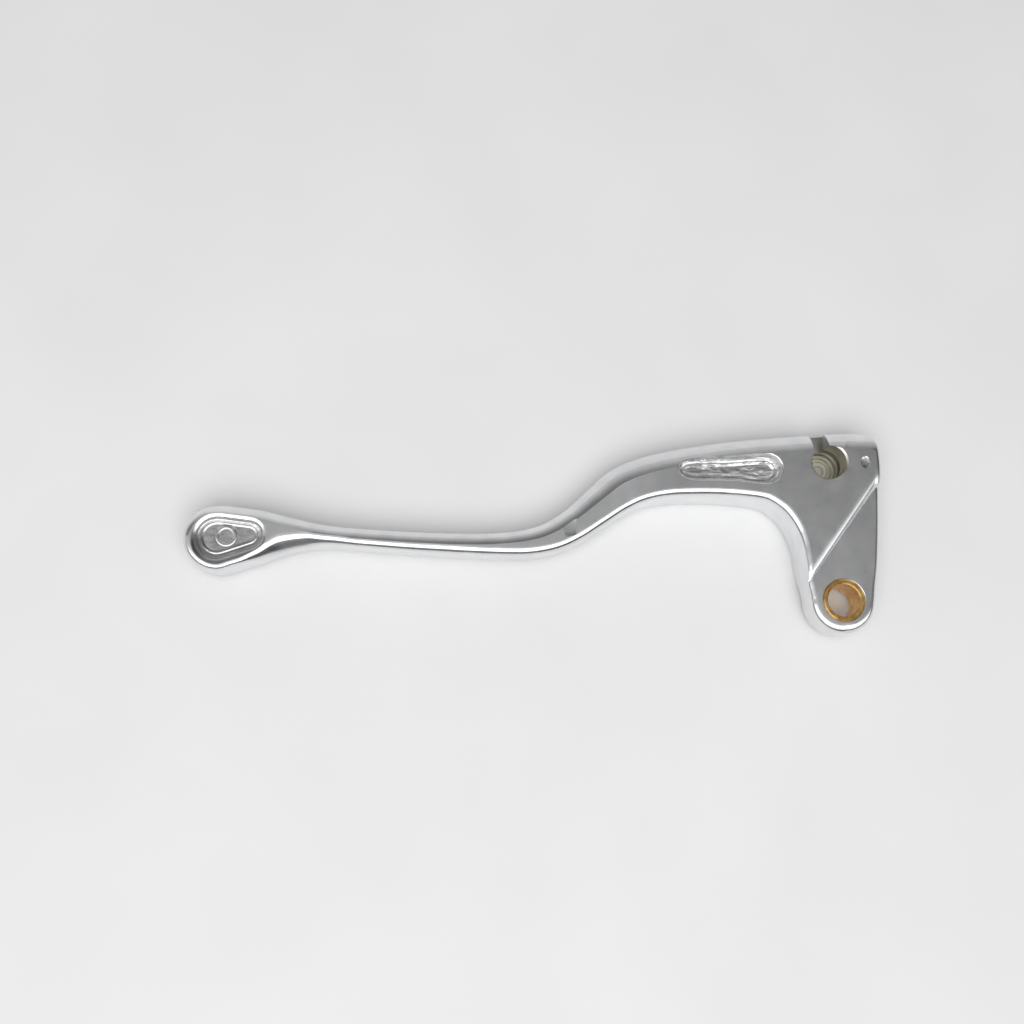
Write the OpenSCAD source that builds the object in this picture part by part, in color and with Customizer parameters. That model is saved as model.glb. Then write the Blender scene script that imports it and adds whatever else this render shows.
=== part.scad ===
// Right-hand brake lever for a motorbike, cast in aluminium, with a pressed-in bronze pivot bush.
// It lies as it does on a bench: its underside up, where the cable barrel goes in.
// Origin: on the pivot axis, halfway through the eye. +Z is the pivot axis, +X points inboard,
// and +Y points to the front, away from the handlebar. The finger blade runs to -X.

/* [Pivot] */
// Bore of the bush, in which the pivot bolt turns
bolt_bore = 8; // [6:0.1:10]
// Wall of the bush
bush_wall = 1; // [0.7:0.1:1.5]
// Metal of the lever round the bush
eye_wall = 2.8; // [2:0.1:4]
// Thickness of the tongue that goes between the ears of the perch, and length of the bush
tongue_h = 10; // [8:0.5:12]
// Chamfer at the mouths of the bush and of its seat
mouth_bevel = 0.3; // [0.1:0.05:0.5]

/* [Hub and arm] */
// Thickness of the hub and of the arm
hub_h = 14; // [13:0.5:18]
// Distance from the pivot axis to the front face of the hub
hub_reach = 42.5; // [41:0.5:48]
// Distance from the pivot axis to the side wall of the hub
hub_side = 10.2; // [9.4:0.1:12]
// Height of the foot of the step above the pivot axis, at the rear side
step_rear_y = 4.4; // [3.5:0.1:6]
// Height of the foot of the step above the pivot axis, at the side wall
step_side_y = 28.2; // [26:0.1:29]
// Distance from the pivot axis to the start of the blade
arm_l = 60; // [55:0.5:70]
// Distance from the pivot axis to the rear wall of the arm
arm_back = 25.2; // [23:0.1:26]
// Width of the rounded front of the hub and arm, seen along the pivot axis
nose_w = 5.5; // [4.5:0.1:6]
// Round of the rear edges of the hub and arm
rear_r = 1.5; // [0.8:0.1:2]
// Round of the edges of the side wall and of the tongue
side_r = 1.1; // [0.6:0.1:1.5]
// Round of the edge at the end of the eye
eye_r_edge = 1.9; // [1:0.1:2]

/* [Blade] */
// Length of the blade, from its start to the middle of the ball
blade_l = 89.3; // [80:0.5:105]
// Height of the blade, along the pivot axis
blade_h = 10; // [8:0.5:12]
// Thickness of the blade from front to rear, where it is slimmest
blade_t = 5.5; // [4.5:0.1:7]
// Distance from the pivot axis to the middle of the blade, towards the front
blade_y = 13.2; // [11:0.1:16]

/* [Ball end] */
// Diameter of the ball end, seen along the pivot axis
ball_d = 16.2; // [14:0.1:20]
// Thickness of the ball end
ball_h = 12; // [10:0.5:14]
// Distance from the pivot axis to the middle of the ball, towards the front
ball_y = 13.9; // [12:0.1:17]
// Depth of the dish in the ball end
dish_depth = 1.8; // [1:0.1:3]
// Rim between the dish and the outside of the ball end
dish_rim = 2.4; // [2.2:0.1:3]

/* [Cable] */
// Diameter of the barrel on the end of the brake cable
barrel_d = 8; // [6:0.1:9]
// Clearance of the barrel in its hole
barrel_gap = 0.5; // [0.2:0.1:0.8]
// Depth of the barrel hole
barrel_depth = 10.8; // [9:0.1:12]
// Distance from the pivot axis to the barrel hole, towards the blade
barrel_x = 2.6; // [2:0.1:4]
// Metal between the barrel hole and the front face
barrel_wall = 4.6; // [3.5:0.1:6]
// Diameter of the inner cable
cable_d = 2; // [1.5:0.1:2.5]
// Clearance of the cable in its slots
cable_gap = 0.4; // [0.2:0.1:1]
// Width of the slot through which the cable is put in from the open face
entry_w = 4; // [3:0.1:4]

/* [Pocket] */
// Depth of the pocket in the arm
pocket_depth = 2.6; // [1.5:0.1:4]
// Metal between the pocket and the rear wall of the arm
pocket_web = 3.4; // [2.8:0.1:5]
// Width of the pocket from front to rear
pocket_w = 6.4; // [4:0.1:6.8]

/* [Hidden] */
// Smoothness of true circles
$fn = 96;
// Facets on each rounded edge
edge_steps = 5;
// Sections between two neighbouring stations of the lever
lever_steps = 3;
// Sections between two neighbouring stations of a hollow
hollow_steps = 2;
// Least height of the plain wall between two rounded edges
land = 0.3;
// Share of a section that its two rounds may take together
round_share = 0.97;
// How far the raw body stands above the flats that are cut on it, and the same beside small rounds
crown = 0.6;
low_crown = 0.15;
// Angle at which a small round meets the flat
soft_start = 10;
// How far a cutting tool runs past the face it starts from
past = 1;

bush_r = bolt_bore / 2 + bush_wall;
eye_r = bush_r + eye_wall;
ball_r = ball_d / 2;
ball_c = [-arm_l - blade_l, ball_y];
barrel_r = (barrel_d + barrel_gap) / 2;
barrel_c = [-barrel_x, hub_reach - barrel_wall - barrel_r];
slot_h = cable_d + cable_gap;

// Value between two others
function mix(a, b, t) = a + (b - a) * t;

// Point on a circle
function on_circle(centre, r, angle) = centre + r * [cos(angle), sin(angle)];

// Smooth curve from a to b that leaves with slope da and arrives with slope db
function bend(a, b, da, db, t) =
    a * (2 * t ^ 3 - 3 * t ^ 2 + 1) + b * (3 * t ^ 2 - 2 * t ^ 3)
    + da * (t ^ 3 - 2 * t ^ 2 + t) + db * (t ^ 3 - t ^ 2);

// Direction of an outline at point i. The front and rear outlines, side and mate,
// meet at both ends, where the one runs on into the other.
function direction(side, mate, i) =
    let (last = len(side) - 1)
    i == 0 ? side[1] - mate[1] : i == last ? mate[last - 1] - side[last - 1] : side[i + 1] - side[i - 1];

// Smooth outline through the points of one side
function outline(side, mate, steps) = [
    for (i = [0:len(side) - 2])
        for (j = [0:steps - 1])
            bend(side[i], side[i + 1], direction(side, mate, i) / 2, direction(side, mate, i + 1) / 2, j / steps),
    side[len(side) - 1]
];

// Slope of a row of section sizes at station i, which never overshoots its neighbours
function easy_slope(rows, i) =
    i == 0 || i == len(rows) - 1 ? 0 * rows[i] : [
        for (k = [0:len(rows[i]) - 1])
            let (before = rows[i][k] - rows[i - 1][k], after = rows[i + 1][k] - rows[i][k])
            before * after <= 0 ? 0 : sign(before) * min(abs(before), abs(after))
    ];

// Section sizes at every section between the stations
function section_sizes(rows, steps) = [
    for (i = [0:len(rows) - 2])
        for (j = [0:steps - 1])
            bend(rows[i], rows[i + 1], easy_slope(rows, i), easy_slope(rows, i + 1), j / steps),
    rows[len(rows) - 1]
];

// Point on a rounded edge, as [distance in from the wall, distance down from the face].
// t runs from 0 at the wall to 1 at the face, and the arc meets the face at the angle start.
function edge_point(w, d, start, t) =
    let (first = max(start, 2 * atan2(d, w) - 90))
    let (last = 2 * atan2(d, w) - first)
    let (r = norm([w, d]) / (2 * sin((last - first) / 2)))
    let (angle = mix(last, first, t))
    [r * (sin(last) - sin(angle)), r * (cos(first) - cos(angle))];

// Upper half of one side of a section, from the wall in to the face. Its last point runs on
// above the edge of the face by rise, but inwards by no more than spare.
function side_points(p, out, half_h, w, d, start, rise, spare) =
    let (before = edge_point(w, d, start, 1 - 1 / edge_steps))
    let (run = min(spare, (w - before[0]) * rise / before[1]))
    [
        for (k = [0:edge_steps])
            let (e = k < edge_steps ? edge_point(w, d, start, k / edge_steps) : [w + run, -rise])
            [p.x - out.x * e[0], p.y - out.y * e[0], half_h - e[1]]
    ];

function reversed(list) = [for (i = [len(list) - 1:-1:0]) list[i]];

// One section: up the rear side, across the face, down the front side, and the same mirrored below.
// size is [half height, front round width, its depth, its start angle, rear round, crown]
function section(front, rear, front_out, rear_out, size) =
    let (gap = norm(front - rear))
    let (across = gap > 0 ? (front - rear) / gap : [0, 0])
    let (front_lean = abs(front_out * across), rear_lean = abs(rear_out * across))
    let (need = size[1] * front_lean + size[4] * rear_lean)
    let (fit = need > 0 ? min(1, gap * round_share / need) : 1)
    let (spare = need > 0 ? (gap * 0.99 - need * fit) / (front_lean + rear_lean) : 1)
    let (front_d = min(size[2], size[0] - land / 2))
    let (rear_d = min(size[4], size[0] - land / 2))
    let (rear_half = side_points(rear, rear_out, size[0], size[4] * fit, rear_d, soft_start, size[5], spare))
    let (front_half = side_points(front, front_out, size[0], size[1] * fit, front_d, size[3], size[5], spare))
    let (upper = concat(rear_half, reversed(front_half)))
    concat(upper, [for (p = reversed(upper)) [p.x, p.y, -p.z]]);

// Solid through a row of stations, each [front point, rear point, section sizes].
// The front and rear points are the same at the first and the last station.
module loft(stations, steps) {
    key_front = [for (s = stations) s[0]];
    key_rear = [for (s = stations) s[1]];
    front = outline(key_front, key_rear, steps);
    rear = outline(key_rear, key_front, steps);
    size = section_sizes([for (s = stations) s[2]], steps);
    last = len(front) - 1;
    half = 2 * edge_steps + 2;
    ring = 2 * half;
    points = [
        for (i = [0:last])
            let (f = direction(front, rear, i), r = direction(rear, front, i))
            let (front_out = [-f.y, f.x] / norm(f), rear_out = [r.y, -r.x] / norm(r))
            each section(front[i], rear[i], front_out, rear_out, size[i])
    ];
    // At the two ends the front and rear halves share their points
    function index(i, j) =
        i > 0 && i < last ? i * ring + j
        : i * ring + (j < half ? min(j, half - 1 - j) : max(j, 3 * half - 1 - j));
    faces = [
        for (i = [0:last - 1])
            for (j = [0:ring - 1])
                let (k = (j + 1) % ring)
                let (a = index(i, j), b = index(i, k), c = index(i + 1, k), d = index(i + 1, j))
                each [if (a != b && c != b && a != c) [a, b, c], if (a != c && c != d && a != d) [a, c, d]]
    ];
    polyhedron(points, faces, convexity = 6);
}

// Places along the lever and across it, as shares of the driving sizes
function arm_x(share) = -arm_l * share;
function blade_x(share) = -arm_l - blade_l * share;
function arm_front(share) = mix(blade_y + blade_t / 2, hub_reach, share);
function arm_rear(share) = mix(blade_y - blade_t / 2, arm_back, share);
function neck_front(share) = mix(blade_y + blade_t / 2, ball_y + ball_r, share);
function neck_rear(share) = mix(blade_y - blade_t / 2, ball_y - ball_r, share);
function side_x(share) = mix(eye_r, hub_side, share);

// Section sizes of the blade, swelling towards the arm (positive share) or the ball (negative share)
function blade_size(share) =
    let (swell = abs(share), rise = crown * max(0, (swell - 0.8) / 0.2))
    let (slim = [blade_h / 2, blade_t * 0.62, blade_h / 2, 20, blade_t * 0.36])
    let (ball = [ball_h / 2, ball_r * 0.36, ball_h / 2, 20, ball_r * 0.13])
    let (arm = [hub_h / 2, nose_w, hub_h / 2, 25, rear_r])
    concat(mix(slim, share < 0 ? ball : arm, swell), [rise]);

// The tip of the ball end, and its round up to the full width
tip_size = [ball_h / 2, ball_r * 0.22, ball_r * 0.22, 10, ball_r * 0.22, crown];
ball_stations = [
    for (angle = [0, 30, 60, 90])
        [
            on_circle(ball_c, ball_r, 180 - angle),
            on_circle(ball_c, ball_r, 180 + angle),
            mix(tip_size, blade_size(-1), angle / 90)
        ]
];

// The teardrop neck of the ball end, and the slim blade
blade_stations = [
    [[blade_x(0.95), neck_front(0.94)], [blade_x(0.95), neck_rear(0.73)], blade_size(-1)],
    [[blade_x(0.89), neck_front(0.83)], [blade_x(0.89), neck_rear(0.4)], blade_size(-1)],
    [[blade_x(0.83), neck_front(0.62)], [blade_x(0.83), neck_rear(0)], blade_size(-1)],
    [[blade_x(0.77), neck_front(0.41)], [blade_x(0.77), neck_rear(-0.28)], blade_size(-0.6)],
    [[blade_x(0.71), neck_front(0.25)], [blade_x(0.71), neck_rear(-0.42)], blade_size(-0.25)],
    [[blade_x(0.62), neck_front(0.14)], [blade_x(0.62), neck_rear(-0.31)], blade_size(0)],
    [[blade_x(0.49), neck_front(0.04)], [blade_x(0.49), neck_rear(-0.14)], blade_size(0)],
    [[blade_x(0.34), arm_front(0)], [blade_x(0.34), arm_rear(0)], blade_size(0)],
    [[blade_x(0.24), arm_front(0.015)], [blade_x(0.24), arm_rear(-0.016)], blade_size(0)],
    [[blade_x(0.17), arm_front(0.055)], [blade_x(0.165), arm_rear(0)], blade_size(0.05)]
];

// The bend from the blade up to the arm, and the arm as far as the hub
arm_stations = [
    [[arm_x(1.18), arm_front(0.125)], [arm_x(1.14), arm_rear(0.09)], blade_size(0.12)],
    [[arm_x(1.1), arm_front(0.25)], [arm_x(1.05), arm_rear(0.26)], blade_size(0.25)],
    [[arm_x(1.02), arm_front(0.42)], [arm_x(0.96), arm_rear(0.5)], blade_size(0.5)],
    [[arm_x(0.94), arm_front(0.585)], [arm_x(0.87), arm_rear(0.74)], blade_size(0.75)],
    [[arm_x(0.85), arm_front(0.695)], [arm_x(0.79), arm_rear(0.89)], blade_size(0.93)],
    [[arm_x(0.73), arm_front(0.78)], [arm_x(0.69), arm_rear(0.975)], blade_size(1)],
    [[arm_x(0.57), arm_front(0.853)], [arm_x(0.54), arm_rear(1)], blade_size(1)],
    [[arm_x(0.42), arm_front(0.905)], [arm_x(0.42), arm_rear(0.985)], blade_size(1)],
    [[arm_x(0.28), arm_front(0.94)], [arm_x(0.32), arm_rear(0.94)], blade_size(1)]
];

// The hub: the front outline turns the corner into the side wall, and the rear one bends down to the eye
hub_front_size = [hub_h / 2, nose_w, hub_h / 2, 25, rear_r, crown];
hub_side_size = [hub_h / 2, side_r * 1.1, side_r * 1.1, 10, side_r, low_crown];
hub_stations = [
    [[-10, hub_reach - 1], [-eye_r - 9, arm_back - 1.8], hub_front_size],
    [[-4, hub_reach - 0.5], [-eye_r - 6.3, arm_back - 3.8], hub_front_size],
    [[1, hub_reach - 0.1], [-eye_r - 4.3, arm_back - 6.4], hub_front_size],
    [[hub_side - 5.4, hub_reach], [-eye_r - 3.1, arm_back - 8.7], hub_front_size],
    [[hub_side - 2.7, hub_reach - 0.5], [-eye_r - 2.4, arm_back - 10.7], mix(hub_front_size, hub_side_size, 0.4)],
    [[hub_side - 1, hub_reach - 2.1], [-eye_r - 1.9, arm_back - 12.6], mix(hub_front_size, hub_side_size, 0.75)],
    [[hub_side - 0.3, hub_reach - 4.8], [-eye_r - 1.6, arm_back - 14.6], hub_side_size],
    [[hub_side, hub_reach - 8.5], [-eye_r - 1.3, arm_back - 16.5], hub_side_size]
];

// The step down to the tongue. The raw body keeps the height of the hub to just past the foot of the
// step, because its sections lean towards the hub on their way in from the side wall.
step_foot = [[-eye_r - 0.8, step_rear_y], [side_x(0.95), step_side_y]];
step_stations = [
    [[hub_side, step_side_y + 2.4], [-eye_r - 1, step_rear_y + 2.1], hub_side_size],
    [[side_x(0.93), step_side_y - 1.8], step_foot[0], hub_side_size]
];

// The tongue, whose sides run down to the eye, and the round of the eye
tongue_size = [tongue_h / 2, side_r, side_r, 10, side_r, low_crown];
eye_size = [tongue_h / 2, eye_r_edge, eye_r_edge, 10, eye_r_edge, low_crown];
tongue_stations = [
    [[side_x(0.9), step_side_y * 0.88], [-eye_r - 0.62, step_rear_y * 0.8], tongue_size],
    [[side_x(0.8), step_side_y * 0.7], [-eye_r - 0.42, step_rear_y * 0.56], tongue_size],
    [[side_x(0.64), step_side_y * 0.5], [-eye_r - 0.25, step_rear_y * 0.36], tongue_size],
    [[side_x(0.44), step_side_y * 0.31], [-eye_r - 0.1, step_rear_y * 0.18], tongue_size],
    [[side_x(0.18), step_side_y * 0.14], on_circle([0, 0], eye_r, 180), mix(tongue_size, eye_size, 0.2)]
];
eye_stations = [
    for (share = [0, 0.25, 0.5, 0.75, 1])
        [
            on_circle([0, 0], eye_r, mix(0, -90, share)),
            on_circle([0, 0], eye_r, mix(190, 270, share)),
            mix(tongue_size, eye_size, mix(0.3, 1, share))
        ]
];

// The dish in the ball end: a round bowl that narrows towards the blade
dish_big_r = ball_r - dish_rim;
dish_small_r = dish_big_r * 0.74;
dish_big_c = ball_c + [-0.1, -0.9];
dish_small_c = dish_big_c + [dish_big_r * 1.27, 0.4];
dish_size = [dish_depth, dish_depth * 1.5, dish_depth, 0, dish_depth * 1.5, 0];
dish_stations = concat(
    [
        for (angle = [0, 30, 60, 90])
            [on_circle(dish_big_c, dish_big_r, 180 - angle), on_circle(dish_big_c, dish_big_r, 180 + angle), dish_size]
    ],
    [
        for (angle = [90, 60, 30, 0])
            [on_circle(dish_small_c, dish_small_r, angle), on_circle(dish_small_c, dish_small_r, -angle), dish_size]
    ]
);

// The pocket in the arm: a long trough with round ends
pocket_rear = arm_back + pocket_web;
pocket_front = pocket_rear + pocket_w;
pocket_size = [pocket_depth, pocket_w * 0.45, pocket_depth, 0, pocket_w * 0.45, 0];
pocket_stations = [
    [[arm_x(0.668), pocket_front - 3.5], [arm_x(0.668), pocket_front - 3.5], pocket_size],
    [[arm_x(0.65), pocket_front - 1.3], [arm_x(0.65), pocket_rear + 0.9], pocket_size],
    [[arm_x(0.61), pocket_front - 0.4], [arm_x(0.61), pocket_rear], pocket_size],
    [[arm_x(0.52), pocket_front - 0.2], [arm_x(0.52), pocket_rear], pocket_size],
    [[arm_x(0.42), pocket_front + 0.1], [arm_x(0.42), pocket_rear + 0.1], pocket_size],
    [[arm_x(0.33), pocket_front + 0.6], [arm_x(0.34), pocket_rear - 0.6], pocket_size],
    [[arm_x(0.285), pocket_front + 0.7], [arm_x(0.285), pocket_rear - 0.8], pocket_size],
    [[arm_x(0.25), pocket_front - 0.6], [arm_x(0.25), pocket_rear + 0.5], pocket_size],
    [[arm_x(0.235), pocket_front - 3.2], [arm_x(0.235), pocket_front - 3.2], pocket_size]
];

// Round hole from z = low up past the face z = high, with a bevelled mouth at the face
module bevelled_hole(r, low, high, bevel) {
    translate([0, 0, low]) cylinder(r = r, h = high - low + past);
    translate([0, 0, high - bevel]) cylinder(r1 = r, r2 = r + bevel + past, h = bevel + past);
}

// Seat of the bush, right through the eye, with a bevel at each face
module bush_seat() {
    cylinder(r = bush_r, h = tongue_h + 2 * past, center = true);
    for (side = [0, 1])
        mirror([0, 0, side]) translate([0, 0, tongue_h / 2 - mouth_bevel])
            cylinder(r1 = bush_r, r2 = bush_r + mouth_bevel + past, h = mouth_bevel + past);
}

// Blind hole for the barrel, with the slots for the cable: one up to the open face for putting it in,
// and one halfway through the hub in which it swings to the side
module cable_cut() {
    translate(barrel_c) {
        bevelled_hole(barrel_r, hub_h / 2 - barrel_depth, hub_h / 2, 0.5);
        translate([-barrel_r + 0.5, 0, -slot_h / 2]) cube([entry_w, barrel_r * 4, hub_h]);
        linear_extrude(slot_h, center = true)
            polygon([[0, -2], [hub_side * 2, -6], [hub_side * 2, barrel_r * 4], [0, barrel_r * 4]]);
    }
}

// The room between the flats of the ball end and those of the hub, as seen from the front
module side_view() {
    wide = hub_h + hub_reach;
    x0 = ball_c.x - ball_d;
    x1 = blade_x(0.5);
    x2 = hub_side * 2;
    translate([0, wide, 0]) rotate([90, 0, 0]) linear_extrude(2 * wide)
        polygon([
            [x0, -ball_h / 2], [x1, -ball_h / 2], [x1, -hub_h / 2], [x2, -hub_h / 2],
            [x2, hub_h / 2], [x1, hub_h / 2], [x1, ball_h / 2], [x0, ball_h / 2]
        ]);
}

// Metal cut away on both faces of the tongue, as far as the slanting step up to the hub
module tongue_cut() {
    along = step_foot[1] - step_foot[0];
    depth = (hub_h - tongue_h) / 2;
    run = 1.4;
    for (side = [0, 1])
        mirror([0, 0, side]) translate([step_foot[0].x, step_foot[0].y, tongue_h / 2])
            rotate([90, 0, 90 + atan2(along.y, along.x)]) translate([0, 0, -hub_reach])
                linear_extrude(hub_reach * 3)
                    polygon([[0, 0], [run * 2, depth * 2], [-hub_reach, depth * 2], [-hub_reach, 0]]);
}

module lever() {
    color([0.8, 0.8, 0.82]) difference() {
        intersection() {
            loft(concat(ball_stations, blade_stations, arm_stations, hub_stations, step_stations,
                tongue_stations, eye_stations), lever_steps);
            side_view();
        }
        tongue_cut();
        bush_seat();
        cable_cut();
        translate([0, 0, hub_h / 2]) loft(pocket_stations, hollow_steps);
        translate([0, 0, ball_h / 2]) loft(dish_stations, hollow_steps);
    }
}

module pivot_bush() {
    bevel = mouth_bevel * 0.7;
    color([0.7, 0.48, 0.2]) rotate_extrude()
        polygon([
            [bolt_bore / 2, -tongue_h / 2 + bevel],
            [bolt_bore / 2 + bevel, -tongue_h / 2],
            [bush_r - bevel, -tongue_h / 2],
            [bush_r, -tongue_h / 2 + bevel],
            [bush_r, tongue_h / 2 - bevel],
            [bush_r - bevel, tongue_h / 2],
            [bolt_bore / 2 + bevel, tongue_h / 2],
            [bolt_bore / 2, tongue_h / 2 - bevel]
        ]);
}

lever();
pivot_bush();
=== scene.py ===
# %% [markdown]
# # A motorbike brake lever in Blender
#
# The object is one aluminium casting, the lever, with a bronze bush pressed into its eye. It lies on a
# pale table with its underside up, so that the hole for the cable barrel shows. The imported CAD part
# gives the frame: every size and place below is in millimetres from the pivot axis, as in the CAD, and
# is turned into metres when a mesh is made.

import math

import bmesh
import bpy
import numpy as np
from mathutils import Matrix, Vector


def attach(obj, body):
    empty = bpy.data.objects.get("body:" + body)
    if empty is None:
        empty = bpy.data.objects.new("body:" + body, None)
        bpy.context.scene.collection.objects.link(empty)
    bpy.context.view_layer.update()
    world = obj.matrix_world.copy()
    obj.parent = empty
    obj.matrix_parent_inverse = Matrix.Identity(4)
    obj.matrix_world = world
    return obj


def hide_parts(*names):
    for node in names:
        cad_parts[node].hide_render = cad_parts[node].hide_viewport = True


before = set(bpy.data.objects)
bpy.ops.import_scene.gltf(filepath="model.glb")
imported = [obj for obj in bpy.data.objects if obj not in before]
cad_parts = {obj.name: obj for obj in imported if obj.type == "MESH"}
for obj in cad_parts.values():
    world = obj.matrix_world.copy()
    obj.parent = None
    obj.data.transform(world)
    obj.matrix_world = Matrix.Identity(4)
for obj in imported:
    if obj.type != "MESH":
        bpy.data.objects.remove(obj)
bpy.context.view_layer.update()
MM = 0.001
print("CAD nodes:", sorted(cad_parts))

# %% [markdown]
# ## The sizes of the lever
#
# These are the driving sizes of the casting, as in the CAD; only the rear edge's round and the dish's
# rim are a little wider here. X runs along the lever towards the handlebar's middle, Y runs to the
# front, and Z stands up from the table. The noses and rolls of the blade are shares of its thickness,
# and those of the ball end are shares of its radius. A start is the angle in degrees at which a round
# leaves the flat.

# %% Sizes
bush_r = 5.0
eye_r = 7.8
tongue_h = 10.0
hub_h = 14.0
hub_reach = 42.5
hub_side = 10.2
step_rear_y = 4.4
step_side_y = 28.2
arm_l = 60.0
arm_back = 25.2
nose_w = 5.5
rear_r = 1.65
side_r = 1.1
eye_edge = 1.9
blade_l = 89.3
blade_h = 10.0
blade_t = 5.5
blade_y = 13.2
ball_r = 8.1
ball_h = 12.0
ball = np.array([-arm_l - blade_l, 13.9])
barrel_r = 4.25
barrel = np.array([-2.6, 33.65])
barrel_depth = 10.8
slot_h = 2.4
entry_w = 4
pocket_web = 3.4
pocket_w = 6.4
dish_rim = 2.7
dish_depth = 1.8
table_z = -hub_h / 2

# %% Shares and angles of the sections
blade_nose = 0.62
blade_roll = 0.33
end_nose = 0.36
end_roll = 0.15
tip_round = 0.22
side_roll = 1.2
blade_start = 20
arm_start = 25
side_start = 10
# Wall left plain between a nose and the middle plane, and the share of a section that its rounds may take
middle_gap = 0.15
fullest = 0.985

# %% [markdown]
# ## Stations
#
# A cast lever has no straight run in it, so it is described like the hull of a boat: by stations along
# its length. Each station has a point on the front outline, a point on the rear outline, and the sizes of
# the section there: half height, width and depth of the rounded front, the angle at which that round
# leaves the flat, the round of the rear edge, and how much of that round is its steep land.

# %% Outline helpers
def mix(a, b, t):
    return np.asarray(a, float) * (1 - t) + np.asarray(b, float) * t


def on_circle(centre, r, degrees):
    turn = math.radians(degrees)
    return np.array([centre[0] + r * math.cos(turn), centre[1] + r * math.sin(turn)])


def arm_x(share):
    return -arm_l * share


def blade_x(share):
    return -arm_l - blade_l * share


def arm_front(share):
    return (blade_y + blade_t / 2) * (1 - share) + hub_reach * share


def arm_rear(share):
    return (blade_y - blade_t / 2) * (1 - share) + arm_back * share


def neck_front(share):
    return (blade_y + blade_t / 2) * (1 - share) + (ball[1] + ball_r) * share


def neck_rear(share):
    return (blade_y - blade_t / 2) * (1 - share) + (ball[1] - ball_r) * share


def side_x(share):
    return eye_r * (1 - share) + hub_side * share


def blade_size(share):
    slim = [blade_h / 2, blade_t * blade_nose, blade_h / 2, blade_start, blade_t * blade_roll, 1]
    end = [ball_h / 2, ball_r * end_nose, ball_h / 2, blade_start, ball_r * end_roll, 1]
    arm = [hub_h / 2, nose_w, hub_h / 2, arm_start, rear_r, 1]
    return mix(slim, end if share < 0 else arm, abs(share))


# %% Stations of the ball end and the blade
tip_size = [ball_h / 2, ball_r * tip_round, ball_r * tip_round, side_start, ball_r * tip_round, 1]
stations = []
for angle in (0, 30, 60, 90):
    stations.append([
        on_circle(ball, ball_r, 180 - angle),
        on_circle(ball, ball_r, 180 + angle),
        mix(tip_size, blade_size(-1), angle / 90),
    ])
for x, front, rear, swell in (
    (0.95, 0.94, 0.73, -1),
    (0.89, 0.83, 0.4, -1),
    (0.83, 0.62, 0, -1),
    (0.77, 0.41, -0.28, -0.6),
    (0.71, 0.25, -0.42, -0.25),
    (0.62, 0.14, -0.31, 0),
    (0.49, 0.04, -0.14, 0),
):
    stations.append([[blade_x(x), neck_front(front)], [blade_x(x), neck_rear(rear)], blade_size(swell)])
for front_x, front, rear_x, rear, swell in (
    (0.34, 0, 0.34, 0, 0),
    (0.24, 0.015, 0.24, -0.016, 0),
    (0.17, 0.055, 0.165, 0, 0.05),
):
    ends = [[blade_x(front_x), arm_front(front)], [blade_x(rear_x), arm_rear(rear)]]
    stations.append([*ends, blade_size(swell)])
# The neck's rear edge is rounded off more than the blade's, with a wider steep land
for number, rear_w, steep in ((5, 2.6, 1.3), (6, 4.1, 2), (7, 3.4, 2), (8, 2.3, 1.2)):
    stations[number][2][4:] = rear_w, steep
print("blade stations:", len(stations))

# %% Stations of the arm and the hub
for front_x, front, rear_x, rear, swell in (
    (1.18, 0.125, 1.14, 0.09, 0.12),
    (1.1, 0.25, 1.05, 0.26, 0.25),
    (1.02, 0.42, 0.96, 0.5, 0.5),
    (0.94, 0.585, 0.87, 0.74, 0.75),
    (0.85, 0.695, 0.79, 0.89, 0.93),
    (0.73, 0.78, 0.69, 0.975, 1),
    (0.57, 0.853, 0.54, 1, 1),
    (0.42, 0.905, 0.42, 0.985, 1),
    (0.28, 0.94, 0.32, 0.94, 1),
):
    ends = [[arm_x(front_x), arm_front(front)], [arm_x(rear_x), arm_rear(rear)]]
    stations.append([*ends, blade_size(swell)])
front_size = [hub_h / 2, nose_w, hub_h / 2, arm_start, rear_r, 1]
side_size = [hub_h / 2, side_r, side_r, side_start, side_r * side_roll, 1]
for front, rear, turn in (
    ((-10, hub_reach - 1), (-9, -1.8), 0),
    ((-4, hub_reach - 0.5), (-6.3, -3.8), 0),
    ((1, hub_reach - 0.1), (-4.3, -6.4), 0),
    ((hub_side - 5.4, hub_reach), (-3.1, -8.7), 0),
    ((hub_side - 2.7, hub_reach - 0.5), (-2.4, -10.7), 0.4),
    ((hub_side - 1, hub_reach - 2.1), (-1.9, -12.6), 0.75),
    ((hub_side - 0.3, hub_reach - 4.8), (-1.6, -14.6), 1),
    ((hub_side, hub_reach - 8.5), (-1.3, -16.5), 1),
):
    rear_point = [rear[0] - eye_r, rear[1] + arm_back]
    stations.append([front, rear_point, mix(front_size, side_size, turn)])
hub_last = len(stations) - 1
corner_first = hub_last - 4
print("stations as far as the hub:", len(stations))

# %% Stations of the tongue and the eye
foot_rear = np.array([-eye_r - 0.8, step_rear_y])
foot_side = np.array([side_x(0.95), step_side_y])
tongue_size = [tongue_h / 2, side_r, side_r, side_start, side_r * side_roll, 1]
eye_size = [tongue_h / 2, eye_edge, eye_edge, side_start, eye_edge, 1]
stations.append([[hub_side, step_side_y + 2.4], [-eye_r - 1, step_rear_y + 2.1], side_size])
stations.append([foot_side, foot_rear, tongue_size])
for share, front, out, rear in (
    (0.9, 0.88, 0.62, 0.77),
    (0.8, 0.7, 0.42, 0.56),
    (0.64, 0.5, 0.25, 0.36),
    (0.44, 0.31, 0.1, 0.18),
):
    ends = [[side_x(share), step_side_y * front], [-eye_r - out, step_rear_y * rear]]
    stations.append([*ends, tongue_size])
stations.append([[side_x(0.18), step_side_y * 0.14], [-eye_r, 0], mix(tongue_size, eye_size, 0.2)])
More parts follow.
